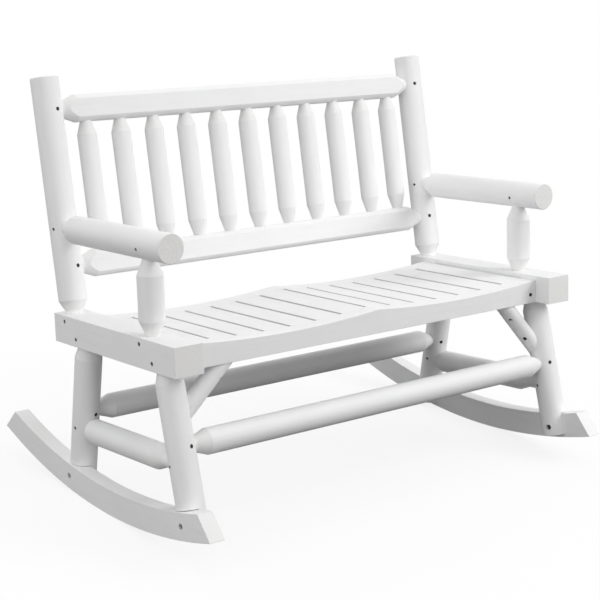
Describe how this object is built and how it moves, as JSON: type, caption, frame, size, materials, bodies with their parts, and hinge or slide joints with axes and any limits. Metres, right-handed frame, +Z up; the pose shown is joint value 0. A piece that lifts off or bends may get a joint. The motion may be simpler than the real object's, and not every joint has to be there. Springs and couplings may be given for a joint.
{
  "type": "rocking bench",
  "caption": "White painted rocking bench of turned logs with a spindle back, round armrests and a dished slat seat on curved rockers.",
  "frame": {"origin": "on the floor, under the middle of the whole bench's bounding box", "axes": "+X to the right as seen from the front, +Y to the rear, +Z up"},
  "size_m": [1.2028, 0.934, 0.9817],
  "materials": {
    "painted_wood": "white paint, satin, faint grain",
    "steel": "dull zinc"
  },
  "bodies": {
    "root": {"arm_pins": "steel", "front_apron": "painted_wood", "front_slat_cleat": "painted_wood", "front_stretcher": "painted_wood", "left_arm_post": "painted_wood", "left_armrest": "painted_wood", "left_back_post": "painted_wood", "left_brace": "painted_wood", "left_front_leg": "painted_wood", "left_rear_leg": "painted_wood", "left_rocker": "painted_wood", "left_side_rail": "painted_wood", "left_side_stretcher": "painted_wood", "leg_pins": "steel", "lower_back_rail": "painted_wood", "post_pins": "steel", "rear_apron": "painted_wood", "rear_slat_cleat": "painted_wood", "rear_stretcher": "painted_wood", "right_arm_post": "painted_wood", "right_armrest": "painted_wood", "right_back_post": "painted_wood", "right_brace": "painted_wood", "right_front_leg": "painted_wood", "right_rear_leg": "painted_wood", "right_rocker": "painted_wood", "right_side_rail": "painted_wood", "right_side_stretcher": "painted_wood", "rocker_bolts": "steel", "rocker_nuts": "steel", "slat_01": "painted_wood", "slat_02": "painted_wood", "slat_03": "painted_wood", "slat_04": "painted_wood", "slat_05": "painted_wood", "slat_06": "painted_wood", "slat_07": "painted_wood", "slat_08": "painted_wood", "slat_09": "painted_wood", "slat_10": "painted_wood", "slat_11": "painted_wood", "slat_12": "painted_wood", "slat_13": "painted_wood", "slat_14": "painted_wood", "slat_nails": "steel", "spindle_01": "painted_wood", "spindle_02": "painted_wood", "spindle_03": "painted_wood", "spindle_04": "painted_wood", "spindle_05": "painted_wood", "spindle_06": "painted_wood", "spindle_07": "painted_wood", "spindle_08": "painted_wood", "spindle_09": "painted_wood", "spindle_10": "painted_wood", "spindle_11": "painted_wood", "top_back_rail": "painted_wood", "wood_screws": "steel"}
  },
  "joints": []
}
